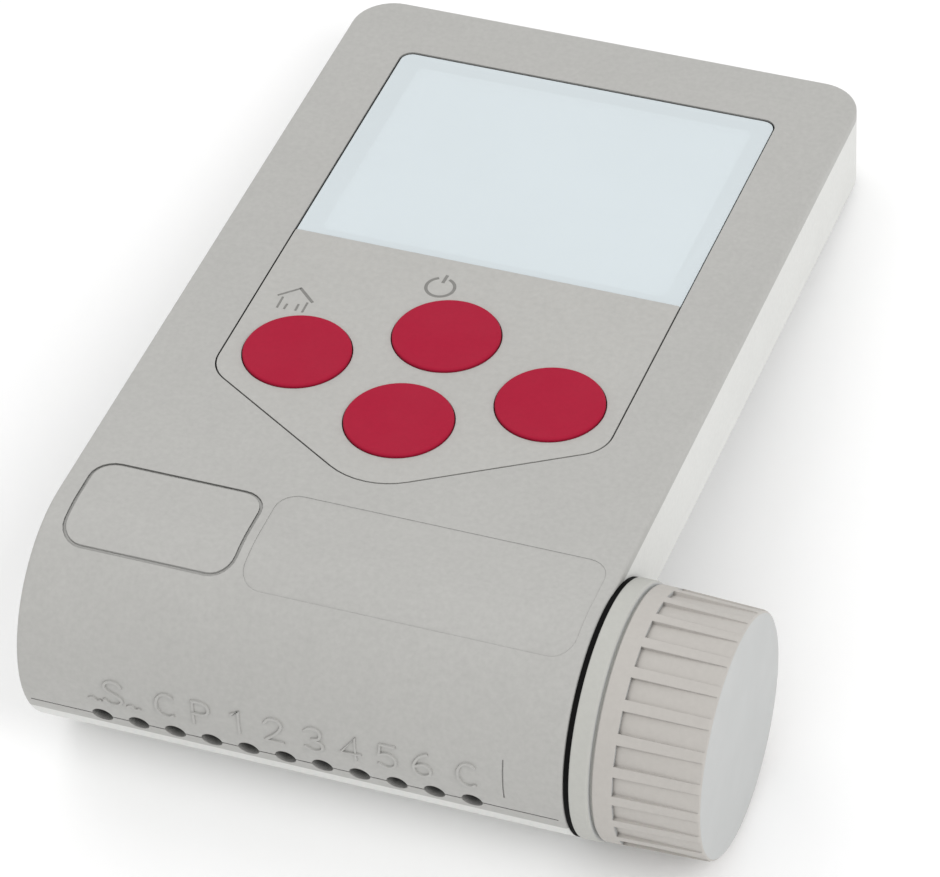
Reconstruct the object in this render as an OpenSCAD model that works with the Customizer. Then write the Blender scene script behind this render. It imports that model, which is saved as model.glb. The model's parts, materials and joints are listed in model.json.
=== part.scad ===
// Battery irrigation controller: a flat display housing over a round barrel that holds a 9 V
// battery behind a screw cap. It lies on its back, resting on the barrel and the top edge.
// Everything is drawn on the face plane first: x to the right, y up the face from the middle of
// the button cross, z out of the face. place() then leans the whole object back on its rest line.

/* [Body] */
// Width of the housing
body_w = 100; // [98:1:104]
// Height of the face above the middle of the button cross
face_top = 103.1; // [101:0.1:108]
// Distance from the middle of the button cross down to the barrel axis
barrel_drop = 46.5; // [46:0.1:49]
// Diameter of the barrel
barrel_d = 45.5; // [45:0.1:46.2]
// Thickness of the display housing
slab_t = 17.7; // [17.5:0.1:18.5]
// Thickness of the housing walls
wall = 2.2; // [2.1:0.1:2.3]
// Corner radius of the face, seen from the front
corner_r = 8; // [6:0.5:9]
// Rounding of the outer edges
edge_r = 0.8; // [0.4:0.1:1]
// Where the front shell ends round the barrel, in degrees from the face normal
part_angle = 116.5; // [115:0.5:125]

/* [Face] */
// Width of the sunk panel that carries the display and the buttons
panel_w = 74.2; // [72:0.1:75]
// Height of the panel's top edge
panel_top = 88.8; // [86:0.1:90]
// Height of the panel's lowest point before it is rounded
panel_apex = -31.2; // [-34:0.1:-30]
// Slope of the panel's two lower edges, in degrees
panel_slope = 31.3; // [28:0.1:33]
// Depth of the sunk panel
panel_t = 1.2; // [1:0.1:1.3]
// Gap round the panel
panel_gap = 0.3; // [0.2:0.1:0.5]
// Height of the display's lower edge
display_bottom = 32.6; // [32:0.1:35]

/* [Buttons] */
// Diameter of a button
button_d = 19.5; // [18:0.5:20]
// Distance of the left and right buttons from the middle
button_dx = 23.8; // [23:0.1:24.5]
// Distance of the upper and lower buttons from the middle
button_dy = 12; // [11.8:0.1:12.5]
// How far a button stands above the panel
button_proud = 0.6; // [0.3:0.1:1]
// How far a button can be pressed
button_travel = 0.5; // [0.2:0.1:0.6]

/* [Wire outlets] */
// Number of wire outlets
wire_count = 11; // [5:1:11]
// Distance between neighbouring outlets
wire_pitch = 6.8; // [6:0.1:6.9]
// Diameter of an outlet
wire_d = 3.8; // [3:0.1:4]
// Where the outlets sit round the barrel, in degrees from the face normal
wire_angle = 108.9; // [104:0.1:109.5]
// Distance of the row's middle from the middle of the housing, to the right
wire_row_x = -1; // [-2:0.5:2]

/* [Battery] */
// Length of a 9 V battery without its studs
battery_l = 46.4; // [45:0.1:47]
// Width of a 9 V battery
battery_w = 26.5; // [25.5:0.1:26.5]
// Thickness of a 9 V battery
battery_t = 17.5; // [16.5:0.1:17.5]

/* [Cap] */
// Length of the screw cap
cap_l = 22.9; // [22.6:0.1:25]
// Thickness of the ring seal behind the cap
seal_t = 0.8; // [0.8:0.1:1.5]
// Radius of the cap at its outer end
cap_end_r = 21.8; // [21.5:0.1:22]
// Number of finger slots
slot_count = 24; // [18:1:28]
// Width of a finger slot as a share of its pitch
slot_share = 0.66; // [0.4:0.02:0.75]

/* [Wall fixing] */
// Radius of a keyhole's round entry
key_entry_r = 4.5; // [4:0.1:5]
// Half width of a keyhole's slot
key_slot_r = 2.3; // [1.8:0.1:2.5]
// Distance of each keyhole from the middle
key_x = 32; // [26:1:32]

/* [Hidden] */
$fn = 72;
hw = body_w / 2;
barrel_r = barrel_d / 2;
barrel_y = -barrel_drop;
bore_r = barrel_r - wall;
rear_r = 1.2;
arc_steps = 5;

// Lean: a line that touches the barrel and the rounded rear edge at the top becomes the ground.
lean_run = face_top - rear_r - barrel_y;
lean_rise = barrel_r + rear_r - slab_t;
tilt = atan2(lean_rise, lean_run) + asin((barrel_r - rear_r) / norm([lean_run, lean_rise]));
cap_x = hw + seal_t;
cap_end = cap_x + cap_l;
front_reach = barrel_y * cos(tilt) - barrel_r * sin(tilt) - barrel_r;
back_reach = (face_top - edge_r) * cos(tilt) - edge_r * sin(tilt) + edge_r;
low_reach = -barrel_y * sin(tilt) - barrel_r * cos(tilt) - barrel_r;
to_origin = [(hw - cap_end) / 2, -(front_reach + back_reach) / 2, -low_reach];

// Levels under the face
floor_z = -slab_t + wall;
board_t = 1.6;
board_z = -9.2;
display_z = -wall - 0.1;
display_t = 2.6;
reflector_t = 1.4;
boss_z = -9.9;

// Places on the face
button_places = [[-button_dx, 0], [0, button_dy], [0, -button_dy], [button_dx, 0]];
shell_screw_places = [for (x = [-43, 43], y = [-14, 40, 94]) [x, y]];
board_screw_places = [for (x = [-33, 33], y = [27.5, 94]) [x, y]];
board_hw = 37;
board_low = -23;
board_top = 97.5;
window_hw = 33;
window_low = 35.5;
window_top = 86;
glass_hw = 34;
glass_low = 33.5;
glass_top = 87.5;
frame_rim = 2;
badge_low = [-46.2, barrel_y - 10.5];
badge_high = [-14, barrel_y + 9.3];
badge_line = 0.6;
plate_low = [-12.4, barrel_y - 11.1];
plate_high = [47.6, barrel_y + 10.9];
plate_depth = 0.1;

// Where the barrel's wall meets the middle of the rear wall
meet_angle = 360 - acos(1 - (slab_t - wall / 2) / barrel_r);
meet_y = barrel_y - barrel_r * sin(meet_angle);
gasket_low = barrel_y + barrel_r + 0.6;

// Battery, holder and cap along the barrel
neck_x = hw + 11;
neck_r = barrel_r - 3.1;
neck_bore_r = barrel_r - 4.8;
battery_x = 23;
sleeve_gap = 0.3;
sleeve_wall = 1.2;
sleeve_x = 15;
socket_x = 39;
stud_l = 2.1;
stud_spread = 12.7;
connector_x = sleeve_x + sleeve_wall + 0.2;
connector_t = 2.8;
cap_bore_r = barrel_r - 2.3;
cap_floor_x = cap_end - 2.6;
slot_floor_r = cap_end_r - 0.2;
slot_x = cap_x + 7.6;
wire_span = (wire_count - 1) * wire_pitch;
strip_hl = wire_span / 2 + 3;
block_r = battery_t / 2 + sleeve_gap + sleeve_wall + 0.5;
block_top_r = bore_r - 2.5;
key_y = -13.5;
key_slot_l = 8;
key_depth = 2.8;

shell_grey = [0.74, 0.735, 0.71];
shell_light = [0.88, 0.88, 0.86];
button_red = [0.66, 0.17, 0.26];
rubber_black = [0.08, 0.08, 0.08];
rubber_grey = [0.45, 0.45, 0.45];
brass_yellow = [0.78, 0.65, 0.35];
steel_grey = [0.7, 0.7, 0.72];

// Points of a circular arc
function arc(cx, cy, r, a0, a1, n = arc_steps) =
    [for (i = [0:n]) [cx, cy] + r * [cos(a0 + (a1 - a0) * i / n), sin(a0 + (a1 - a0) * i / n)]];

function unit(v) = v / norm(v);

// Arc that rounds corner v between its neighbours a and b
function round_vertex(a, v, b, r, n) =
    let (
        ua = unit(a - v),
        ub = unit(b - v),
        half = acos(ua * ub) / 2,
        c = v + unit(ua + ub) * r / sin(half),
        p = v + ua * r / tan(half) - c,
        q = v + ub * r / tan(half) - c,
        start = atan2(p.y, p.x),
        sweep = (atan2(q.y, q.x) - start + 540) % 360 - 180
    )
    [for (i = [0:n]) c + r * [cos(start + sweep * i / n), sin(start + sweep * i / n)]];

// Outline with a radius at each corner
function rounded(points, radii, n = 6) =
    let (count = len(points))
    [for (i = [0:count - 1])
        each round_vertex(points[(i + count - 1) % count], points[i], points[(i + 1) % count],
            radii[i], n)];

// Rectangle from low to high with rounded corners
function rounded_box(low, high, r, n = 6) =
    rounded([low, [high.x, low.y], high, [low.x, high.y]], [r, r, r, r], n);

// Corner height of the panel's sloping edges, for a panel drawn in by g
function slope_corner(g) =
    panel_apex + g / cos(panel_slope) + (panel_w / 2 - g) * tan(panel_slope);

// The sunk panel's outline below height top, drawn in by g
function panel_outline(g, top, top_r) =
    let (a = panel_w / 2 - g)
    rounded(
        [[-a, top], [a, top], [a, slope_corner(g)], [0, panel_apex + g / cos(panel_slope)],
            [-a, slope_corner(g)]],
        [top_r, top_r, 7 - g, 14 - g, 7 - g], 8);

// Stands the face drawing on its rest line, with the origin under the middle of the object
module place() {
    translate(to_origin) rotate([-tilt, 0, 0]) children();
}

// Frame of the barrel: z runs along the barrel to the right, x points outward at angle phi
module about_barrel(phi = 0) {
    translate([0, barrel_y, -barrel_r])
        rotate([180, 0, 0])
            rotate([0, 90, 0])
                rotate([0, 0, phi])
                    children();
}

// Runs a section (x inward from the side, y out of the face) up one side, over the top, down the other
module rim_sweep(y_low) {
    run = face_top - corner_r - y_low;
    for (side = [0, 1]) mirror([side, 0, 0]) {
        translate([-hw, face_top - corner_r, 0]) rotate([90, 0, 0]) linear_extrude(run) children();
        translate([corner_r - hw, face_top - corner_r, 0])
            rotate([0, 0, 90])
                rotate_extrude(angle = 90)
                    translate([corner_r, 0]) mirror([1, 0]) children();
    }
    translate([hw - corner_r, face_top, 0])
        rotate([90, 0, -90])
            linear_extrude(2 * (hw - corner_r)) children();
}

// Section through the barrel's wall, with its outer edges rounded
module barrel_section() {
    polygon(concat(
        [[bore_r, -hw]],
        arc(barrel_r - edge_r, edge_r - hw, edge_r, -90, 0),
        arc(barrel_r - edge_r, hw - edge_r, edge_r, 0, 90),
        [[bore_r, hw]]));
}

// Prism of an outline between two heights over the face
module prism(points, z0, z1) {
    translate([0, 0, z0]) linear_extrude(z1 - z0) polygon(points);
}

// The part of a shape that lies in a thin skin over the face and the front of the barrel
module skin(depth) {
    intersection() {
        children();
        union() {
            translate([-hw, barrel_y, -depth]) cube([body_w, barrel_drop, 2]);
            about_barrel()
                rotate_extrude(angle = 40)
                    translate([barrel_r - depth, -hw]) square([2, body_w]);
        }
    }
}

// Outline of the badge, drawn in by g
function badge_outline(g) =
    rounded_box(badge_low + [g, g], badge_high - [g, g], 4.5 - g);

module front_shell() {
    color(shell_grey) place() difference() {
        union() {
            rim_sweep(barrel_y) polygon(concat(
                [[corner_r, -wall], [corner_r, 0]],
                arc(edge_r, -edge_r, edge_r, 90, 180),
                [[0, -wall]]));
            translate([corner_r - hw, barrel_y, -wall])
                cube([body_w - 2 * corner_r, face_top - corner_r - barrel_y, wall]);
            about_barrel() rotate_extrude(angle = part_angle) barrel_section();
            for (p = shell_screw_places)
                translate([p.x, p.y, boss_z]) cylinder(r = 3.2, h = -boss_z - 1);
        }
        prism(panel_outline(0, panel_top, 2.5), -panel_t, 1);
        prism(rounded_box([-window_hw, window_low], [window_hw, window_top], 1.5), -wall - 1, 0);
        for (p = button_places)
            translate([p.x, p.y, -wall - 1]) cylinder(d = button_d + 0.5, h = wall);
        for (p = shell_screw_places)
            translate([p.x, p.y, boss_z - 1]) cylinder(r = 1.25, h = 6.5);
        skin(0.35) difference() {
            prism(badge_outline(0), -6, 1);
            prism(badge_outline(badge_line), -7, 2);
        }
        skin(plate_depth) prism(rounded_box(plate_low, plate_high, 4), -6, 1);
        wire_outlets(barrel_r - wall - 1, barrel_r + 1, wire_d / 2);
        about_barrel(wire_angle)
            translate([barrel_r - 0.25, -0.15, 1.5 - hw]) cube([1, 0.3, body_w - 3]);
        about_barrel(78) rotate_extrude(angle = 22)
            translate([barrel_r - 0.15, hw - 10.9]) square([1, 0.25]);
    }
}

// Radial holes for the wires, from radius r0 out to r1
module wire_outlets(r0, r1, r) {
    about_barrel(wire_angle)
        for (i = [0:wire_count - 1])
            translate([r0, 0, wire_row_x + i * wire_pitch - wire_span / 2])
                rotate([0, 90, 0])
                    cylinder(r = r, h = r1 - r0, $fn = 32);
}

// Keyhole outline cut through the rear wall, slot towards the top
module keyhole(x) {
    translate([x, key_y, -slab_t - 1]) cylinder(r = key_entry_r, h = wall + 1.5);
    translate([x, key_y + key_slot_l, -slab_t - 1]) cylinder(r = key_slot_r, h = wall + 1.5);
    translate([x - key_slot_r, key_y, -slab_t - 1])
        cube([2 * key_slot_r, key_slot_l, wall + 1.5]);
}

// Blind box over a keyhole, drawn out by g
module key_pocket(x, g) {
    translate([x - key_entry_r - 0.7 - g, key_y - key_entry_r - 0.7 - g, floor_z - 1])
        cube([2 * (key_entry_r + 0.7 + g), key_slot_l + 2 * key_entry_r + 1 + 2 * g,
            key_depth + 1 + g]);
}

// Fills the corner between the rear wall and the barrel with a round hollow of radius r
module rear_fillet(r) {
    cz = -slab_t - r;
    cy = barrel_y + sqrt((barrel_r + r) * (barrel_r + r) - (barrel_r + cz) * (barrel_r + cz));
    meet = (atan2(-barrel_r - cz, barrel_y - cy) + 360) % 360;
    last = [cy, cz] + r * [cos(meet), sin(meet)];
    outline = concat(
        [[cy, 1 - slab_t]],
        arc(cy, cz, r, 90, meet, 8),
        [[last.x - 1, last.y], [last.x - 1, 1 - slab_t]]);
    translate([edge_r - hw, 0, 0])
        rotate([90, 0, 90])
            linear_extrude(body_w - 2 * edge_r) polygon(outline);
}

module rear_shell() {
    floor_y = meet_y - 1;
    color(shell_light) place() difference() {
        union() {
            rim_sweep(floor_y) polygon(concat(
                [[0, -wall], [wall, -wall], [wall, floor_z], [corner_r, floor_z],
                    [corner_r, -slab_t]],
                arc(rear_r, rear_r - slab_t, rear_r, 270, 180)));
            translate([corner_r - hw, floor_y, -slab_t])
                cube([body_w - 2 * corner_r, face_top - corner_r - floor_y, wall]);
            for (x = [-hw, hw - wall])
                translate([x, barrel_y, -slab_t])
                    cube([wall, floor_y - barrel_y, slab_t - wall]);
            about_barrel() translate([0, 0, -hw]) cylinder(r = bore_r - 0.02, h = wall);
            about_barrel(part_angle) rotate_extrude(angle = meet_angle - part_angle) barrel_section();
            rear_fillet(4);
            for (p = shell_screw_places)
                translate([p.x, p.y, floor_z - 1]) cylinder(r = 4.2, h = boss_z - floor_z + 1);
            for (p = board_screw_places)
                translate([p.x, p.y, floor_z - 1])
                    cylinder(r = 2.6, h = board_z - board_t - floor_z + 1);
            for (x = [-key_x, key_x]) key_pocket(x, 1.2);
        }
        about_barrel() translate([0, 0, hw - wall - 1]) cylinder(r = bore_r, h = wall + 2);
        rim_sweep(gasket_low) translate([0.7, -wall - 0.8]) square([0.8, 1]);
        for (x = [-key_x, key_x]) {
            keyhole(x);
            intersection() {
                key_pocket(x, 0);
                translate([-hw, key_y - 20, floor_z]) cube([body_w, 40, 10]);
            }
        }
        for (p = shell_screw_places) {
            translate([p.x, p.y, -slab_t - 1]) cylinder(r = 3.1, h = 4);
            translate([p.x, p.y, -slab_t]) cylinder(r = 1.7, h = slab_t);
        }
        for (p = board_screw_places)
            translate([p.x, p.y, floor_z + 0.5]) cylinder(r = 1.1, h = 10);
    }
}

// Rubber cord in the groove where the shells meet
module shell_gasket() {
    color(rubber_black) place()
        rim_sweep(gasket_low)
            translate([0.75, -wall - 0.75]) square([0.7, 0.75]);
}

module keypad_panel() {
    color(shell_grey) place() difference() {
        prism(panel_outline(panel_gap, display_bottom - 0.1, 0.3), -panel_t, 0);
        for (p = button_places)
            translate([p.x, p.y, -panel_t - 1]) cylinder(d = button_d + 0.4, h = panel_t + 2);
    }
}

module lcd_window() {
    a = panel_w / 2 - panel_gap;
    color([0.87, 0.91, 0.92]) place()
        prism(
            rounded([[-a, display_bottom], [a, display_bottom], [a, panel_top - panel_gap],
                [-a, panel_top - panel_gap]], [0.3, 0.3, 2.2, 2.2]),
            -panel_t, -0.25);
}

module lcd_glass() {
    color([0.80, 0.86, 0.84]) place()
        translate([-glass_hw, glass_low, display_z - display_t])
            cube([2 * glass_hw, glass_top - glass_low, display_t]);
}

// Pale plate behind the display that brightens it
module lcd_reflector() {
    color([0.95, 0.95, 0.92]) place()
        translate([-glass_hw, glass_low + 5, display_z - display_t - reflector_t])
            cube([2 * glass_hw, glass_top - glass_low - 10, reflector_t]);
}

// Frame that holds the display over the board
module lcd_frame() {
    low = [-glass_hw - 0.2 - frame_rim, glass_low - 0.2 - frame_rim];
    high = [glass_hw + 0.2 + frame_rim, glass_top + 0.2 + frame_rim];
    color([0.9, 0.9, 0.88]) place() difference() {
        prism(rounded_box(low, high, 1), board_z, display_z);
        prism(
            rounded_box(low + [frame_rim, frame_rim], high - [frame_rim, frame_rim], 0.5),
            board_z - 1, display_z + 1);
    }
}

// Two conductive rubber strips between the display and the board
module lcd_connectors() {
    color([0.3, 0.32, 0.35]) place()
        for (y = [glass_low + 1, glass_top - 3.5])
            translate([-30, y, board_z]) cube([60, 2.5, display_z - display_t - board_z]);
}

module circuit_board() {
    outline = rounded(
        [[-board_hw, 2], [-16, 2], [-16, board_low], [16, board_low], [16, 2], [board_hw, 2],
            [board_hw, board_top], [-board_hw, board_top]],
        [1, 2, 1, 1, 2, 1, 1, 1], 3);
    wide = rounded(
        [[-board_hw, -10], [board_hw, -10], [board_hw, 10], [-board_hw, 10]], [1, 1, 1, 1], 3);
    color([0.12, 0.4, 0.2]) place() difference() {
        union() {
            prism(outline, board_z - board_t, board_z);
            prism(wide, board_z - board_t, board_z);
        }
        for (p = board_screw_places)
            translate([p.x, p.y, board_z - board_t - 1]) cylinder(r = 1.5, h = board_t + 2);
    }
}

module controller_chip() {
    color([0.1, 0.1, 0.1]) place() {
        translate([-7, 53, board_z]) cube([14, 14, 1.4]);
        for (side = [0:3], i = [-5:5])
            translate([0, 60, board_z]) rotate([0, 0, 90 * side])
                translate([7, i * 1.2 - 0.25, 0]) cube([1.2, 0.5, 0.4]);
    }
}

// Storage capacitors that fire the valves, lying under the board
module capacitors() {
    color([0.12, 0.14, 0.3]) place()
        for (i = [0:3])
            translate([-24 + i * 12, 72, board_z - board_t - 2.3])
                rotate([-90, 0, 0])
                    cylinder(r = 2.25, h = 12);
}

// One driver for each valve output, under the board
module solenoid_drivers() {
    color([0.15, 0.15, 0.15]) place()
        for (i = [0:6])
            translate([-27 + i * 8.4, 40, board_z - board_t - 1.6]) cube([4, 5, 1.6]);
}

// Round key with a flange under the shell and a stem that reaches into its switch
module push_button(p) {
    r = button_d / 2;
    color(button_red) place() translate([p.x, p.y, 0])
        rotate_extrude() polygon(concat(
            [[0, -6.4], [1.6, -6.4], [1.6, -wall - 1.1], [r + 0.8, -wall - 1.1],
                [r + 0.8, -wall - 0.1], [r, -wall - 0.1]],
            arc(r - 0.4, button_proud - 0.4, 0.4, 0, 90),
            [[0, button_proud]]));
}

module button_home() {
    push_button(button_places[0]);
}

module button_power() {
    push_button(button_places[1]);
}

module button_lower() {
    push_button(button_places[2]);
}

module button_right() {
    push_button(button_places[3]);
}

// Silicone mat with a pocket for each key's flange and a hole for its stem
module keypad_seal() {
    color(rubber_grey) place() difference() {
        prism(
            rounded_box([-36.4, -button_dy - 12.4], [36.4, button_dy + 12.4], 3),
            -wall - 2.8, -wall);
        for (p = button_places) {
            translate([p.x, p.y, -wall - 1.5 - button_travel])
                cylinder(r = button_d / 2 + 1.3, h = 3);
            translate([p.x, p.y, -wall - 3]) cylinder(r = 2.2, h = 3);
        }
    }
}

module key_switches() {
    color([0.2, 0.2, 0.2]) place()
        for (p = button_places)
            difference() {
                translate([p.x - 3, p.y - 3, board_z]) cube([6, 6, 3.6]);
                translate([p.x, p.y, board_z + 1]) cylinder(r = 1.75, h = 4);
            }
}

// Pan-head screw with its head at the low end, standing on z = 0 under the head
module screw(shaft_r, shaft_l, head_r, head_h) {
    difference() {
        union() {
            translate([0, 0, -head_h]) cylinder(r = head_r, h = head_h);
            cylinder(r = shaft_r, h = shaft_l);
        }
        translate([0, 0, -head_h - 1]) cylinder(r = head_r / 2, h = head_h * 0.6 + 1, $fn = 6);
    }
}

module board_screws() {
    color(steel_grey) place()
        for (p = board_screw_places)
            translate([p.x, p.y, board_z]) mirror([0, 0, 1]) screw(1.05, 5.4, 2.4, 1.5);
}

module shell_screws() {
    color(steel_grey) place()
        for (p = shell_screw_places)
            translate([p.x, p.y, 3 - slab_t]) screw(1.2, 9, 2.8, 1.9);
}

// Battery outline across the barrel, drawn out by g, with its flat side towards the wire outlets
module battery_section(g, r) {
    polygon(rounded_box(
        [-battery_t / 2 - g, -battery_w / 2 - g], [battery_t / 2 + g, battery_w / 2 + g], r, 4));
}

// Sleeve for the battery that widens into the round threaded neck
module battery_holder() {
    outer = sleeve_gap + sleeve_wall;
    color([0.62, 0.62, 0.6]) place() about_barrel(wire_angle) difference() {
        union() {
            translate([0, 0, sleeve_x])
                linear_extrude(socket_x - sleeve_x) battery_section(outer, 2.4);
            rotate_extrude() polygon([
                [battery_t / 2, socket_x - 1.5], [bore_r - 0.1, socket_x - 1.5],
                [bore_r - 0.1, socket_x], [neck_r, socket_x], [neck_r, hw - 4],
                [bore_r - 0.1, hw - 4], [bore_r - 0.1, hw], [neck_r, hw], [neck_r, neck_x - 0.6],
                [neck_r - 0.6, neck_x], [neck_bore_r, neck_x], [neck_bore_r, socket_x],
                [battery_t / 2, socket_x]]);
        }
        translate([0, 0, sleeve_x + sleeve_wall])
            linear_extrude(socket_x) battery_section(sleeve_gap, 1.5);
    }
}

module battery() {
    color([0.25, 0.27, 0.3]) place() about_barrel(wire_angle)
        translate([0, 0, battery_x])
            linear_extrude(battery_l) battery_section(0, 2);
}

// Ring of metal standing on z = 0
module ring(r_out, r_in, h) {
    difference() {
        cylinder(r = r_out, h = h);
        translate([0, 0, -1]) cylinder(r = r_in, h = h + 2);
    }
}

// Round stud and open socket on the battery's inner end
module battery_terminals() {
    color(steel_grey) place() about_barrel(wire_angle) translate([0, 0, battery_x - stud_l]) {
        translate([0, stud_spread / 2, 0]) cylinder(r = 2.9, h = stud_l);
        translate([0, -stud_spread / 2, 0]) ring(4.3, 3, stud_l);
    }
}

module battery_connector() {
    color([0.1, 0.1, 0.1]) place() about_barrel(wire_angle)
        translate([-6, -battery_w / 2 + 0.5, connector_x])
            cube([12, battery_w - 1, connector_t]);
}

// Spring ring and stud that snap onto the battery's terminals
module connector_clips() {
    color(steel_grey) place() about_barrel(wire_angle)
        translate([0, 0, connector_x + connector_t]) {
            translate([0, stud_spread / 2, 0]) ring(3.7, 3, 3);
            translate([0, -stud_spread / 2, 0]) cylinder(r = 2.85, h = 3);
        }
}

// Straight round rod from a to b
module rod(a, b, r) {
    d = b - a;
    translate(a)
        rotate([0, acos(d.z / norm(d)), atan2(d.y, d.x)])
            cylinder(r = r, h = norm(d), $fn = 20);
}

// Two insulated leads from the foot of the sleeve up into the display housing
module battery_leads() {
    lead_r = 0.8;
    run_z = -13.2;
    color([0.6, 0.1, 0.1]) place()
        for (i = [0, 1]) {
            x = 6 + 4 * i;
            foot = [x, barrel_y + 4, 3.5 - 3 * i - barrel_r];
            bend = [x, barrel_y + 12, run_z];
            top = [x, 0, run_z];
            rod([sleeve_x, foot.y, foot.z], foot, lead_r);
            rod(foot, bend, lead_r);
            rod(bend, top, lead_r);
            rod(top, [x, 0, board_z - board_t], lead_r);
            for (elbow = [foot, bend, top]) translate(elbow) sphere(r = lead_r + 0.1, $fn = 20);
        }
}

// Long block behind the outlets with a pocket for each clamp
module terminal_block() {
    color([0.2, 0.35, 0.2]) place() difference() {
        about_barrel(wire_angle)
            translate([block_r, -4, wire_row_x - strip_hl])
                cube([block_top_r - block_r, 8, 2 * strip_hl]);
        wire_outlets(block_top_r - 3.3, block_top_r + 1, 2.5);
    }
}

module wire_clamps() {
    color(brass_yellow) place() difference() {
        wire_outlets(block_top_r - 3.3, block_top_r, 2.45);
        wire_outlets(block_top_r - 2.6, block_top_r + 1, 1.5);
    }
}

// Curved rubber strip pressed against the inside of the barrel, one tight hole for each wire
module wire_seal() {
    color(rubber_black) place() difference() {
        about_barrel(wire_angle - 15)
            rotate_extrude(angle = 30)
                translate([bore_r - 1.9, wire_row_x - strip_hl])
                    square([1.8, 2 * strip_hl]);
        wire_outlets(bore_r - 3, bore_r + 1, 1.4);
    }
}

// Outline of the screw cap from its open end to its closed end
module cap_profile() {
    grip_r = barrel_r - 0.4;
    polygon(concat(
        [[cap_bore_r, cap_x]],
        arc(barrel_r - 0.3, cap_x + 0.3, 0.3, -90, 0, 3),
        arc(barrel_r - 0.5, cap_x + 3, 0.5, 0, 90, 3),
        [[slot_floor_r, cap_x + 3.5], [slot_floor_r, cap_x + 3.9],
            [grip_r - 0.2, cap_x + 4], [grip_r, cap_x + 4.2], [grip_r, cap_x + 7]],
        arc(cap_end_r - 0.8, cap_end - 0.8, 0.8, 0, 90, 4),
        [[0, cap_end], [0, cap_floor_x], [cap_bore_r - 0.8, cap_floor_x],
            [cap_bore_r - 0.8, neck_x + 2], [cap_bore_r, neck_x + 1.2]]));
}

// Screw cap: flange, groove and a tapered grip with finger slots that run out at the end
module battery_cap() {
    pitch_angle = 360 / slot_count;
    color(shell_grey) place() about_barrel() difference() {
        rotate_extrude() cap_profile();
        for (i = [0:slot_count - 1])
            rotate([0, 0, i * pitch_angle])
                rotate_extrude(angle = pitch_angle * slot_share)
                    translate([slot_floor_r, slot_x]) square([3, cap_l]);
    }
}

module cap_seal() {
    color(rubber_black) place() about_barrel()
        translate([0, 0, hw]) ring(barrel_r - 0.1, bore_r + 0.2, seal_t);
}

// Foam disc in the cap that keeps the battery on its contacts
module battery_pad() {
    pad_x = battery_x + battery_l + 0.1;
    color([0.3, 0.3, 0.3]) place() about_barrel()
        translate([0, 0, pad_x]) cylinder(r = 12, h = cap_floor_x - pad_x);
}

front_shell();
rear_shell();
shell_gasket();
keypad_panel();
lcd_window();
lcd_glass();
lcd_reflector();
lcd_frame();
lcd_connectors();
circuit_board();
controller_chip();
capacitors();
solenoid_drivers();
button_home();
button_power();
button_lower();
button_right();
keypad_seal();
key_switches();
board_screws();
shell_screws();
battery_holder();
battery();
battery_terminals();
battery_connector();
connector_clips();
battery_leads();
terminal_block();
wire_clamps();
wire_seal();
battery_cap();
cap_seal();
battery_pad();
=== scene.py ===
import json
import math

import bmesh
import bpy
from mathutils import Matrix, Vector


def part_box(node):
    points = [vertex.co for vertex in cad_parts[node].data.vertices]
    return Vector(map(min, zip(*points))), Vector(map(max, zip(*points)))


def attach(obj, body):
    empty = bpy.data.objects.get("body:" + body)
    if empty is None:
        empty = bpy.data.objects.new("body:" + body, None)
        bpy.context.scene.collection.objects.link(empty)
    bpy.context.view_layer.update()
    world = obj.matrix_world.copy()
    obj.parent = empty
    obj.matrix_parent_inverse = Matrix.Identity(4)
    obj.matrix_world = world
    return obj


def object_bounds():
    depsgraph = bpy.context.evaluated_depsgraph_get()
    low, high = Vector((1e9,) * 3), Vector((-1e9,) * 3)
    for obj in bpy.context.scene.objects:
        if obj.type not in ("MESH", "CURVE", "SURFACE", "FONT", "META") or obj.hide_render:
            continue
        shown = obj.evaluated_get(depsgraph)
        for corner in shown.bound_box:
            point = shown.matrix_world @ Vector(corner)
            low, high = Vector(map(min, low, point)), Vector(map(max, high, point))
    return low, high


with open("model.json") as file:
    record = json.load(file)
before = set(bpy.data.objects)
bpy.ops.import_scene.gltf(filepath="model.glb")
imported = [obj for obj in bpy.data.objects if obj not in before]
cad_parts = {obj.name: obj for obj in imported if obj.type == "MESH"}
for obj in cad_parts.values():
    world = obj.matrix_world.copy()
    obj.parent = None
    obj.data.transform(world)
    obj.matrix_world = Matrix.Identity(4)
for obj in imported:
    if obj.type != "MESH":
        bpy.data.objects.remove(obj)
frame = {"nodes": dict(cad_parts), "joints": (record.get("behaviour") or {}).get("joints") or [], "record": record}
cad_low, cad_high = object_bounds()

MM = 0.001

nodes = frame["nodes"]
joints = {j["name"]: j for j in frame["joints"]}


# ---------------------------------------------------------------- places on the object

def middle(node):
    low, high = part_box(node)
    return (low + high) / 2


def reach(node, direction):
    """How far a node reaches along a direction."""
    return max(v.co.dot(direction) for v in nodes[node].data.vertices)


# The face's own axes: out of the face, to the right, and up the face towards the display.
OUT = -Vector(joints["home_press"]["axis"]).normalized()
RIGHT = Vector((1, 0, 0))
UP = OUT.cross(RIGHT)
FACE = reach("keypad_panel", OUT)
AXIS = Vector(joints["cap_turn"]["pos_m"])
BARREL_R = AXIS.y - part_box("front_shell")[0].y


def on_face(point, height=0.0):
    """A point's foot on the face, raised by height."""
    return point + OUT * (FACE + height - point.dot(OUT))


def on_barrel(x, angle, height=0.0):
    """A point on the barrel at x along it, angle degrees round from the face's normal to the front."""
    a = math.radians(angle)
    outward = OUT * math.cos(a) - UP * math.sin(a)
    return Vector((x, AXIS.y, AXIS.z)) + outward * (BARREL_R + height)


# ---------------------------------------------------------------- materials

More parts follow.
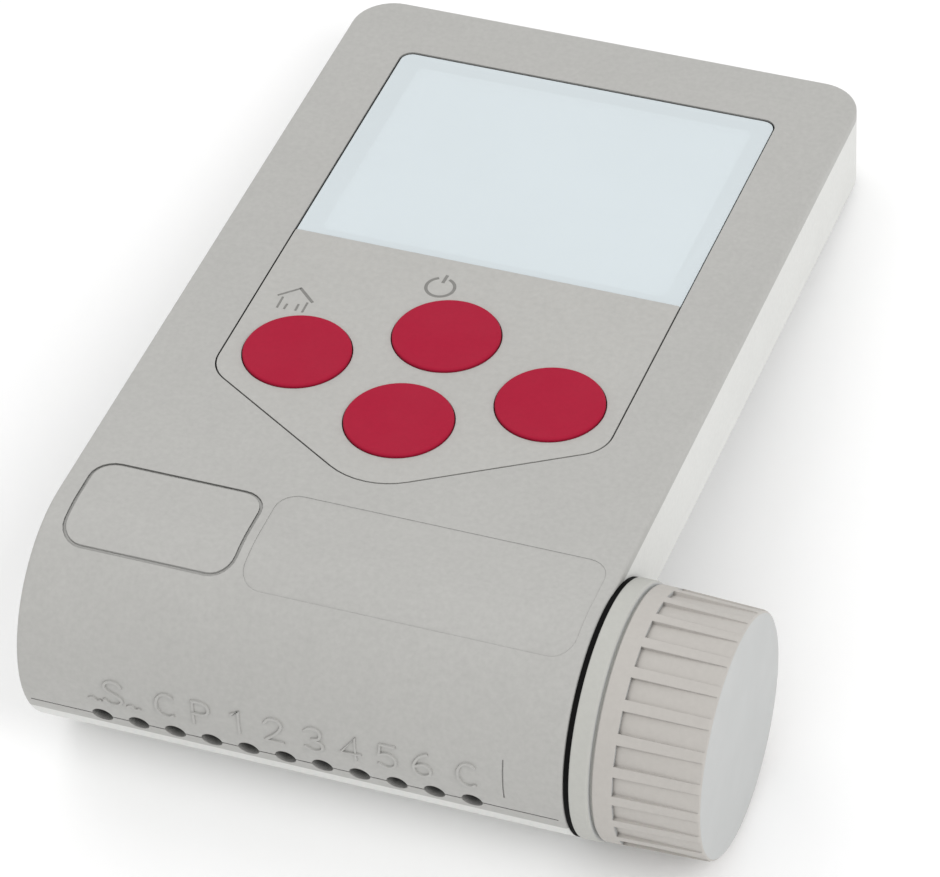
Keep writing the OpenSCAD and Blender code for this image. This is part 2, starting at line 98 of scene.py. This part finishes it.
class Finish:
    """One node material: a Principled shader and the patterns that feed it, in millimetres."""

    def __init__(self, name, colour, roughness, metallic=0.0, specular=0.5, **sockets):
        self.material = bpy.data.materials.new(name)
        self.material.use_nodes = True
        self.tree = self.material.node_tree
        self.shader = self.tree.nodes["Principled BSDF"]
        self.shader.inputs["Metallic"].default_value = metallic
        self.shader.inputs["Specular IOR Level"].default_value = specular
        for key, value in sockets.items():
            self.shader.inputs[key.replace("_", " ")].default_value = value
        self.coords = self.node("ShaderNodeTexCoord").outputs["Object"]
        self.colour = (*colour, 1.0)
        self.roughness = roughness
        self.normal = None

    def node(self, kind, inputs=None, **settings):
        made = self.tree.nodes.new(kind)
        for key, value in settings.items():
            setattr(made, key, value)
        for key, value in (inputs or {}).items():
            if isinstance(value, bpy.types.NodeSocket):
                self.tree.links.new(value, made.inputs[key])
            else:
                made.inputs[key].default_value = value
        return made

    def noise(self, size, detail=2.0, stretch=None):
        """Soft noise whose blotches are about size millimetres across."""
        place = self.coords
        if stretch is not None:
            place = self.node("ShaderNodeMapping", {"Vector": place, "Scale": stretch}).outputs[0]
        return self.node(
            "ShaderNodeTexNoise",
            {"Vector": place, "Scale": 0.5 / (size * MM), "Detail": detail, "Roughness": 0.6},
        ).outputs["Fac"]

    def ranged(self, value, low, high, to_low=0.0, to_high=1.0):
        return self.node(
            "ShaderNodeMapRange",
            {"Value": value, "From Min": low, "From Max": high, "To Min": to_low, "To Max": to_high},
        ).outputs["Result"]

    def maths(self, operation, a, b):
        return self.node("ShaderNodeMath", {0: a, 1: b}, operation=operation).outputs[0]

    def vary(self, size, amount, detail=2.0, stretch=None):
        """Lightens and darkens the colour by up to amount, in blotches of size millimetres."""
        value = self.ranged(self.noise(size, detail, stretch), 0.25, 0.75, 1 - amount, 1 + amount)
        self.colour = self.node(
            "ShaderNodeHueSaturation", {"Color": self.colour, "Value": value}
        ).outputs["Color"]
        return self

    def towards(self, other, mask):
        """Mixes the colour towards another one by a mask."""
        mix = self.node("ShaderNodeMix", {0: mask, 6: self.colour, 7: (*other, 1.0)}, data_type="RGBA")
        self.colour = mix.outputs[2]
        return self

    def rough(self, size, low, high):
        self.roughness = self.ranged(self.noise(size, 3.0), 0.3, 0.7, low, high)
        return self

    def rounded(self, radius, worn=None, amount=0.5):
        """Softens sharp edges, and lightens them towards a worn colour."""
        self.normal = self.node("ShaderNodeBevel", {"Radius": radius * MM}, samples=4).outputs["Normal"]
        if worn is not None:
            true = self.node("ShaderNodeNewGeometry").outputs["Normal"]
            dot = self.node(
                "ShaderNodeVectorMath", {0: self.normal, 1: true}, operation="DOT_PRODUCT"
            ).outputs["Value"]
            edge = self.ranged(dot, 0.985, 0.80, 0.0, amount)
            broken = self.ranged(self.noise(1.5, 3.0), 0.35, 0.6, 0.35, 1.0)
            self.towards(worn, self.maths("MULTIPLY", edge, broken))
        return self

    def painted_shade(self, distance, dark, amount, clear=0.75, deep=0.25, where=None):
        """Paints shade into grooves and inner corners that are narrower than distance, from ambient occlusion."""
        ao = self.node("ShaderNodeAmbientOcclusion", {"Distance": distance * MM}, samples=6)
        mask = self.ranged(ao.outputs["AO"], clear, deep, 0.0, amount)
        return self.towards(dark, mask if where is None else self.maths("MULTIPLY", mask, where))

    def bump(self, height, depth):
        """A relief depth millimetres high, from a 0 to 1 pattern."""
        inputs = {"Height": height, "Distance": depth * MM, "Strength": 1.0}
        if self.normal is not None:
            inputs["Normal"] = self.normal
        self.normal = self.node("ShaderNodeBump", inputs).outputs["Normal"]
        return self

    def grain(self, size, depth):
        return self.bump(self.noise(size, 3.0), depth)

    def done(self):
        """Joins the patterns to the shader and gives the material."""
        outcome = {"Base Color": self.colour, "Roughness": self.roughness, "Normal": self.normal}
        for key, value in outcome.items():
            if value is None:
                continue
            if isinstance(value, bpy.types.NodeSocket):
                self.tree.links.new(value, self.shader.inputs[key])
            else:
                self.shader.inputs[key].default_value = value
        return self.material


# Where the cap's features lie, in millimetres along the axis from its start.
CAP_FLANGE_END = 4.0
CAP_GROOVE_END = 5.5
CAP_SLOTS_START = 8.0


def cap_plastic(name):
    """Moulded grey: a warm grip, a greyer flange, a painted lighter, cooler tone on the end face and painted shade
    in the grooves where the finger slots start.
    """
    f = Finish(name, (0.480, 0.458, 0.430), 0.5, specular=0.3)
    along = f.node("ShaderNodeSeparateXYZ", {0: f.coords}).outputs["X"]
    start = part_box("battery_cap")[0].x

    def from_start(place, soft, *levels):
        """A step at a place along the cap, soft millimetres to either side. A negative soft falls."""
        return f.ranged(along, start + (place - soft) * MM, start + (place + soft) * MM, *levels)

    f.towards((0.478, 0.478, 0.448), from_start(CAP_FLANGE_END, -0.2))
    f.vary(20, 0.02).vary(0.5, 0.03, 3.0).rough(6, 0.45, 0.62)
    # Painted lighter, cooler tone on faces that point along +X, the cap's end, standing in for the light that
    # falls there.
    end_tone_facing = f.node("ShaderNodeSeparateXYZ", {0: f.node("ShaderNodeNewGeometry").outputs["Normal"]})
    f.towards((0.500, 0.508, 0.503), f.ranged(end_tone_facing.outputs["X"], 0.85, 0.97))
    f.rounded(0.2, (0.60, 0.58, 0.55), 0.3)
    # Painted shade in the grooves and slot recesses from the end of the groove to the start of the finger slots,
    # faint further along.
    past_groove = from_start(CAP_GROOVE_END, 0.3)
    slots_start = from_start(CAP_SLOTS_START, -0.3, 0.06, 1.0)
    f.painted_shade(1.0, (0.16, 0.15, 0.14), 0.7, 0.85, 0.45, f.maths("MULTIPLY", past_groove, slots_start))
    return f.grain(0.35, 0.010).done()


def moulded(name, colour, grain=0.35, depth=0.012, speckle=0.05, low=0.42, high=0.62, edge=0.12,
            specular=0.35, groove_shade=0.35, hole_shade=0.0):
    """Moulded plastic with a fine spark-eroded grain, flow mottling, softened edges, painted shade in grooves and,
    where asked, near-black painted shade deep in holes.
    """
    f = Finish(name, colour, 0.5, specular=specular)
    f.vary(25, 0.02).vary(4, 0.012, 3.0).vary(grain * 1.4, speckle, 3.0).rough(6, low, high)
    light = [min(1.0, c * 1.25 + 0.02) for c in colour]
    f.rounded(edge, light, 0.45)
    # Painted shade in grooves and inner corners, from ambient occlusion.
    f.painted_shade(1.2, [c * 0.35 for c in colour], groove_shade)
    # Painted shade, near black, deep inside holes such as the wire outlets.
    if hole_shade:
        f.painted_shade(5.0, [c * 0.04 for c in colour], hole_shade, 0.52, 0.3)
    return f.grain(grain, depth).done()


def rubber(name, colour, grain=0.5, depth=0.02, specular=0.3, bloom=0.05):
    """Moulded rubber: uneven, matt, with a pale bloom in patches."""
    f = Finish(name, colour, 0.7, specular=specular)
    f.vary(6, 0.12).vary(0.6, 0.1, 3.0).rough(3, 0.6, 0.85)
    f.towards([c + bloom for c in colour], f.ranged(f.noise(2.5, 4.0), 0.55, 0.75, 0.0, 0.3))
    return f.rounded(0.15).grain(grain, depth).done()


DRAWN = (1, 1, 14)


def metal(name, colour, low=0.2, high=0.4):
    """Plated metal: fine drawing lines, dull patches, bright edges and painted shade in corners."""
    f = Finish(name, colour, 0.3, metallic=1.0)
    f.vary(5, 0.06).vary(0.8, 0.08, 3.0, DRAWN).rough(1.5, low, high)
    f.rounded(0.08, [min(1.0, c * 1.3) for c in colour], 0.6)
    # Painted shade in corners and recesses.
    f.painted_shade(0.8, [c * 0.25 for c in colour], 0.5)
    return f.bump(f.noise(0.4, 3.0, DRAWN), 0.004).done()


def display_cell(name):
    """The display behind its window: pale blue-white, with a light band and a green tint at its edges."""
    f = Finish(name, (0.88, 0.95, 0.97), 0.35, specular=0.3)
    f.vary(18, 0.012).vary(1.2, 0.01, 2.0)
    low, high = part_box("lcd_window")
    top = reach("lcd_window", UP)
    bottom = -reach("lcd_window", -UP)
    across = f.node("ShaderNodeVectorMath", {0: f.coords, 1: RIGHT}, operation="DOT_PRODUCT")
    along = f.node("ShaderNodeVectorMath", {0: f.coords, 1: UP}, operation="DOT_PRODUCT")

    def edge_of(value, centre, half):
        off = f.maths("ABSOLUTE", f.maths("SUBTRACT", value, centre), 0.0)
        return f.maths("SUBTRACT", half, off)

    near_x = edge_of(across.outputs["Value"], (low.x + high.x) / 2, (high.x - low.x) / 2)
    near_y = edge_of(along.outputs["Value"], (top + bottom) / 2, (top - bottom) / 2)
    near = f.node("ShaderNodeMath", {0: near_x, 1: near_y}, operation="MINIMUM").outputs[0]
    f.towards((0.80, 0.88, 0.87), f.ranged(near, 8 * MM, 2 * MM, 0.0, 0.7))
    f.rough(9, 0.3, 0.4)
    return f.bump(f.noise(0.5, 2.0), 0.002).done()


def clear_window(name):
    """Clear acrylic, lightly frosted on the inside: most of what is behind shows through."""
    f = Finish(name, (0.76, 0.83, 0.86), 0.12, specular=0.45, Alpha=0.8)
    f.vary(14, 0.01).rough(5, 0.10, 0.16)
    return f.rounded(0.12).bump(f.noise(9, 2.0), 0.003).done()


def board(name):
    """Solder mask over copper tracks."""
    f = Finish(name, (0.02, 0.16, 0.07), 0.35, specular=0.5)
    f.vary(8, 0.1).vary(0.5, 0.05, 3.0)
    tracks = f.node("ShaderNodeTexBrick", {
        "Vector": f.coords, "Scale": 180.0, "Mortar Size": 0.03, "Bias": 0.0,
        "Color1": (0, 0, 0, 1), "Color2": (0, 0, 0, 1), "Mortar": (1, 1, 1, 1)}).outputs["Color"]
    f.towards((0.05, 0.28, 0.13), tracks)
    f.rough(3, 0.3, 0.45)
    return f.rounded(0.1).bump(tracks, 0.03).done()


def foam(name):
    """Closed-cell foam, dark between its cells."""
    f = Finish(name, (0.10, 0.10, 0.105), 0.9, specular=0.1)
    f.vary(4, 0.15).vary(0.7, 0.2, 3.0)
    pattern = f.node("ShaderNodeTexVoronoi", {"Vector": f.coords, "Scale": 1 / (0.9 * MM)})
    cells = pattern.outputs["Distance"]
    f.towards((0.02, 0.02, 0.02), f.ranged(cells, 0.45, 0.1, 0.0, 0.8))
    return f.bump(cells, 0.3).done()


BATTERY_BAND = 12


def battery_sleeve(name):
    """Painted steel can: dark wrap with a plain pale band round one end."""
    f = Finish(name, (0.045, 0.05, 0.06), 0.3, metallic=0.3, specular=0.5)
    f.vary(6, 0.1).vary(0.8, 0.05, 3.0)
    band_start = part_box("battery")[1].x - BATTERY_BAND * MM
    along = f.node("ShaderNodeSeparateXYZ", {0: f.coords}).outputs["X"]
    f.towards((0.55, 0.42, 0.22), f.ranged(along, band_start, band_start + 0.3 * MM))
    f.rough(4, 0.22, 0.38)
    return f.rounded(0.2, (0.6, 0.6, 0.6), 0.3).grain(0.8, 0.004).done()


COVER_GREY = (0.436, 0.432, 0.414)
MATERIALS = {
    "shell_grey": lambda n: moulded(n, COVER_GREY, hole_shade=0.9),
    "shell_light": lambda n: moulded(n, (0.690, 0.692, 0.672), speckle=0.03),
    "panel_grey": lambda n: moulded(n, (0.450, 0.445, 0.425), grain=0.4, depth=0.010),
    "lcd_clear": clear_window,
    "lcd_cell": display_cell,
    "diffuser_white": lambda n: moulded(n, (0.80, 0.80, 0.78), depth=0.004, groove_shade=0.1),
    "frame_white": lambda n: moulded(n, (0.70, 0.70, 0.68), depth=0.006),
    "button_red": lambda n: moulded(n, (0.375, 0.007, 0.034), grain=0.3, depth=0.008, speckle=0.04,
                                    low=0.55, high=0.7, specular=0.15, groove_shade=0.3),
    "seal_black": lambda n: rubber(n, (0.006, 0.006, 0.006), specular=0.04, bloom=0.004),
    "mat_grey": lambda n: rubber(n, (0.20, 0.20, 0.195)),
    "board_green": board,
    "chip_black": lambda n: moulded(n, (0.022, 0.022, 0.024), grain=0.2, depth=0.01, groove_shade=0.2),
    "cap_grey": cap_plastic,
    "capacitor_sleeve": lambda n: moulded(n, (0.03, 0.04, 0.11), grain=0.5, depth=0.004),
    "screw_steel": lambda n: metal(n, (0.55, 0.55, 0.56)),
    "contact_nickel": lambda n: metal(n, (0.66, 0.63, 0.58), 0.15, 0.3),
    "clamp_brass": lambda n: metal(n, (0.70, 0.52, 0.24), 0.2, 0.35),
    "battery_case": battery_sleeve,
    "holder_grey": lambda n: moulded(n, (0.36, 0.36, 0.345)),
    "terminal_green": lambda n: moulded(n, (0.03, 0.20, 0.07), grain=0.4),
    "lead_red": lambda n: rubber(n, (0.36, 0.015, 0.015), 0.8, 0.01),
    "foam_grey": foam,
}
finishes = {}
for slot_name, make in MATERIALS.items():
    finishes[slot_name] = make("finish_" + slot_name)

for obj in nodes.values():
    for material_slot in obj.material_slots:
        material_slot.material = finishes[material_slot.material.name.split(".")[0]]

# Printing is a darker grey than the cover, and the raised labels are moulded with it.
ink_finish = moulded("finish_ink", (0.215, 0.212, 0.20), grain=0.3, depth=0.004, speckle=0.1, groove_shade=0.0)
relief_finish = moulded("finish_relief", COVER_GREY, edge=0.08)


# ---------------------------------------------------------------- printed and raised marks

CURVE_STEPS = 5
BEAD_TOP = 0.72


def smooth(points):
    """A smooth line through the points."""
    line = []
    for i in range(len(points) - 1):
        p = [points[max(0, min(len(points) - 1, i + k))] for k in (-1, 0, 1, 2)]
        for s in range(CURVE_STEPS):
            t = s / CURVE_STEPS
            line.append(tuple(
                0.5 * (2 * p[1][k] + (p[2][k] - p[0][k]) * t
                       + (2 * p[0][k] - 5 * p[1][k] + 4 * p[2][k] - p[3][k]) * t * t
                       + (3 * p[1][k] - p[0][k] - 3 * p[2][k] + p[3][k]) * t ** 3)
                for k in (0, 1)))
    line.append(points[-1])
    return line


def ring_arc(cx, cy, rx, ry, start, end, steps=24):
    """Part of an ellipse, from one angle in degrees to another."""
    angles = [math.radians(start + (end - start) * i / steps) for i in range(steps + 1)]
    return [(cx + rx * math.cos(a), cy + ry * math.sin(a)) for a in angles]


def strip(bm, rings):
    """A closed bar through rings of four vertices."""
    for r0, r1 in zip(rings, rings[1:]):
        for k in range(4):
            bm.faces.new((r0[k], r0[(k + 1) % 4], r1[(k + 1) % 4], r1[k]))
    bm.faces.new(rings[0][::-1])
    bm.faces.new(rings[-1])


def piece(name, bm, finish):
    """Turns a finished bmesh into an object of the visual model."""
    bmesh.ops.recalc_face_normals(bm, faces=bm.faces)
    mesh = bpy.data.meshes.new(name)
    bm.to_mesh(mesh)
    bm.free()
    obj = bpy.data.objects.new(name, mesh)
    bpy.context.scene.collection.objects.link(obj)
    mesh.materials.append(finish)
    return obj


def stroke(bm, line, width, surface, height, sink):
    """A raised bead of a pen line on a surface. surface(x, y, h) gives the point in the row frame."""
    n = len(line)
    rings = []
    for i in range(n):
        a, b = line[max(0, i - 1)], line[min(n - 1, i + 1)]
        d = Vector((b[0] - a[0], b[1] - a[1])).normalized()
        side = Vector((-d.y, d.x)) * width / 2
        back = d * (width * 0.25 if i == n - 1 else -width * 0.25 if i == 0 else 0)
        x, y = line[i][0] + back.x, line[i][1] + back.y
        rings.append([
            bm.verts.new(surface(x + side.x * k, y + side.y * k, h))
            for k, h in ((1, -sink), (BEAD_TOP, height), (-BEAD_TOP, height), (-1, -sink))])
    strip(bm, rings)


def marks(name, lines, width, surface, height, sink, finish):
    """One piece on the housing from a set of pen lines."""
    bm = bmesh.new()
    for line in lines:
        stroke(bm, line, width, surface, height, sink)
    obj = piece(name, bm, finish)
    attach(obj, "housing")
    return obj


def face_surface(centre):
    """The face round a centre, with x to the right and y up it, in millimetres."""
    base = on_face(centre)
    return lambda x, y, h: base + (RIGHT * x + UP * y + OUT * h) * MM


# The pictograms stand above and to the left of their buttons.
ICON_SHIFT = (RIGHT * -5.9 + UP * 13.8) * MM
HOUSE = [
    [(-3.2, 0.15), (0, 3.1)],
    [(-2.2, -0.2), (-2.15, -3.1)],
    [(-0.75, -1.8), (-0.8, -3.1)],
    [(1.25, -1.3), (1.3, -2.9)],
    [(2.6, -0.4), (2.65, -3.0)],
]
ROOF = [[(0, 3.1), (3.35, 0.1)]]
RING = [ring_arc(0, -1.05, 2.6, 2.6, 119, 426, 36), [(0, 0.4), (0.1, 2.3)]]
ICONS = [("mark_home", "button_home", HOUSE, 0.5), ("mark_home_roof", "button_home", ROOF, 0.7),
         ("mark_power", "button_power", RING, 0.72)]
for icon_name, key, lines, width in ICONS:
    marks(icon_name, lines, width, face_surface(middle(key) + ICON_SHIFT), 0.04, 0.05,
          ink_finish)

# Terminal labels over the outlets: glyphs drawn in a box 1 wide and 1.4 high around its middle.
GLYPHS = {
    "S": [smooth([(0.42, 0.45), (0.2, 0.68), (-0.2, 0.68), (-0.42, 0.42), (-0.25, 0.12), (0.2, -0.08),
                  (0.44, -0.38), (0.2, -0.68), (-0.2, -0.7), (-0.46, -0.48)])],
    "C": [ring_arc(0.05, 0, 0.5, 0.7, 50, 310)],
    "P": [[(-0.35, -0.7), (-0.35, 0.7)],
          smooth([(-0.35, 0.68), (0.1, 0.68), (0.4, 0.5), (0.4, 0.15), (0.1, -0.02), (-0.35, -0.02)])],
    "1": [[(-0.3, 0.42), (0.05, 0.7), (0.05, -0.7)]],
    "2": [smooth([(-0.42, 0.4), (-0.2, 0.66), (0.2, 0.66), (0.4, 0.36), (0.15, -0.1), (-0.42, -0.66)]),
          [(-0.42, -0.68), (0.45, -0.68)]],
    "3": [smooth([(-0.4, 0.5), (-0.1, 0.7), (0.3, 0.58), (0.32, 0.2), (-0.05, 0.03)]),
          smooth([(-0.05, 0.03), (0.38, -0.12), (0.42, -0.5), (0.05, -0.7), (-0.42, -0.5)])],
    "4": [[(0.22, -0.7), (0.22, 0.7), (-0.45, -0.28), (0.48, -0.28)]],
    "5": [[(0.4, 0.68), (-0.3, 0.68), (-0.36, 0.08)],
          smooth([(-0.36, 0.08), (0.05, 0.2), (0.42, -0.05), (0.38, -0.5), (0.0, -0.7), (-0.4, -0.52)])],
    "6": [smooth([(0.25, 0.7), (-0.15, 0.42), (-0.4, -0.1), (-0.3, -0.58), (0.05, -0.7), (0.38, -0.5),
                  (0.36, -0.12), (0.05, 0.05), (-0.32, -0.12)])],
    "-": [smooth([(-0.3, 0.0), (-0.1, 0.1), (0.1, -0.1), (0.3, 0.0)])],
}
LABEL_ANGLE = 90.8
LABEL_HALF = 5.2 / 1.4
outlets = sorted((m for m in frame["record"]["mounts"] if m["kind"] == "bore"
                  and m["name"].startswith("wire_outlet")), key=lambda m: m["pos_m"][0])


def barrel_surface(x0, angle, size):
    """The barrel round a place, with x along it and y up it, in units of size millimetres."""
    degrees = math.degrees(size * MM / BARREL_R)
    return lambda x, y, h: on_barrel(x0 + x * size * MM, angle - y * degrees, h * MM)


outlet_x = [m["pos_m"][0] for m in outlets]
step = (outlet_x[-1] - outlet_x[0]) / (len(outlet_x) - 1)


def label(name, glyph, place, angle, width, height):
    """A raised label, place steps along the row from the first outlet."""
    surface = barrel_surface(outlet_x[0] + place * step, angle, LABEL_HALF)
    marks(name, GLYPHS[glyph], width, surface, height, 0.08, relief_finish)


LABELS = [("S", 0.44), ("C", 1.87), ("P", 2.82), ("1", 3.84), ("2", 4.81), ("3", 5.88), ("4", 6.88),
          ("5", 7.84), ("6", 8.78), ("C", 9.97)]
for i, (glyph, place) in enumerate(LABELS):
    label(f"label_{i}", glyph, place, LABEL_ANGLE, 0.17, 0.32)
for i, place in enumerate((-0.08, 0.98)):
    label(f"label_dash_{i}", "-", place, LABEL_ANGLE + 6, 0.16, 0.3)


# ---------------------------------------------------------------- screw thread

RIDGE_STEPS = 48
RIDGE_FADE = 10
RIDGE_FOOT = 0.20
RIDGE_TOP = 0.09
RIDGE_SINK = -0.05


def radii(node, x_low, x_high):
    """The distances from the barrel's axis to a node's vertices between two places along it."""
    return [math.hypot(v.co.y - AXIS.y, v.co.z - AXIS.z)
            for v in nodes[node].data.vertices if x_low <= v.co.x <= x_high]


def thread(name, radius, rise, x_low, x_high, slot, body):
    """A right-hand ridge round the barrel's axis: it stands rise out from radius, inward where negative."""
    turns = (x_high - x_low) / PITCH
    steps = round(turns * RIDGE_STEPS)
    bm = bmesh.new()
    rings = []
    for i in range(steps + 1):
        angle = math.tau * turns * i / steps
        x = x_low + (x_high - x_low) * i / steps
        full = min(1.0, i / RIDGE_FADE, (steps - i) / RIDGE_FADE)
        ring = []
        for dx, out in ((-RIDGE_FOOT, RIDGE_SINK), (-RIDGE_TOP, full), (RIDGE_TOP, full),
                        (RIDGE_FOOT, RIDGE_SINK)):
            distance = radius + rise * out
            ring.append(bm.verts.new((x + dx * PITCH, AXIS.y + distance * math.cos(angle),
                                      AXIS.z + distance * math.sin(angle))))
        rings.append(ring)
    strip(bm, rings)
    obj = piece(name, bm, finishes[slot])
    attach(obj, body)
    return obj


# The neck's ridge turns between the cap's ridge: they are half a pitch apart.
travel, turned = joints["cap_travel"]["range_m"], joints["cap_turn"]["range_deg"]
PITCH = travel[1] / (turned[1] / 360)
neck_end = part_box("battery_holder")[1].x
cap_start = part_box("battery_cap")[0].x
neck_radius = max(radii("battery_holder", cap_start, neck_end))
bore = min(radii("battery_cap", cap_start - 0.1 * MM, cap_start + 0.1 * MM))
RISE = 0.75 * (bore - neck_radius)
thread("neck_thread", neck_radius, RISE, cap_start + 1.5 * MM, neck_end - 1.5 * MM, "holder_grey", "housing")
thread("cap_thread", bore, -RISE, cap_start + 3.0 * MM, cap_start + 9.0 * MM, "cap_grey", "cap")


# ---------------------------------------------------------------- floor, light and camera

def floor_finish():
    f = Finish("finish_floor", (0.99, 0.99, 0.99), 0.8, specular=0.1)
    return f.vary(400, 0.004).vary(30, 0.003).rough(60, 0.7, 0.85).grain(3, 0.02).done()


FLOOR_HALF = 15
FLOOR_GAP = 0.00002
floor_mesh = bpy.data.meshes.new("floor")
bm = bmesh.new()
bmesh.ops.create_grid(bm, x_segments=8, y_segments=8, size=FLOOR_HALF)
bm.to_mesh(floor_mesh)
bm.free()
floor = bpy.data.objects.new("floor", floor_mesh)
floor.location.z = cad_low.z - FLOOR_GAP
floor_mesh.materials.append(floor_finish())
bpy.context.scene.collection.objects.link(floor)

AIM = Vector((0, 0, 0.015))
world = bpy.data.worlds.new("studio")
world.use_nodes = True
world.node_tree.nodes["Background"].inputs["Color"].default_value = (1.0, 1.0, 1.0, 1.0)
world.node_tree.nodes["Background"].inputs["Strength"].default_value = 0.84
bpy.context.scene.world = world


def soft_box(name, place, size, power):
    """A round area light that faces the middle of the object."""
    light = bpy.data.lights.new(name, "AREA")
    light.shape = "DISK"
    light.size = size
    light.energy = power
    obj = bpy.data.objects.new(name, light)
    obj.location = place
    aim = AIM - obj.location
    obj.rotation_euler = aim.to_track_quat("-Z", "Y").to_euler()
    bpy.context.scene.collection.objects.link(obj)


soft_box("key", (0.75, -0.35, 0.95), 0.7, 4.0)
soft_box("fill", (-0.7, 0.5, 1.0), 0.9, 2.2)

# The camera looks from the front right with a long lens, turned slightly anticlockwise.
camera_data = bpy.data.cameras.new("camera")
camera_data.sensor_width = 36.0
camera_data.lens = 211.8
camera_data.clip_start = 0.05
camera_data.clip_end = 60.0
camera = bpy.data.objects.new("camera", camera_data)
view_right = Vector((0.93800, 0.33147, -0.10138)).normalized()
view_back = Vector((0.28371, -0.56615, 0.77394)).normalized()
view_up = view_back.cross(view_right).normalized()
turn = Matrix((view_right, view_up, view_back)).transposed()
camera.matrix_world = Matrix.Translation((0.27412, -0.57040, 0.78213)) @ turn.to_4x4()
bpy.context.scene.collection.objects.link(camera)
bpy.context.scene.camera = camera

bpy.context.scene.view_settings.view_transform = "Standard"
bpy.context.scene.view_settings.look = "None"
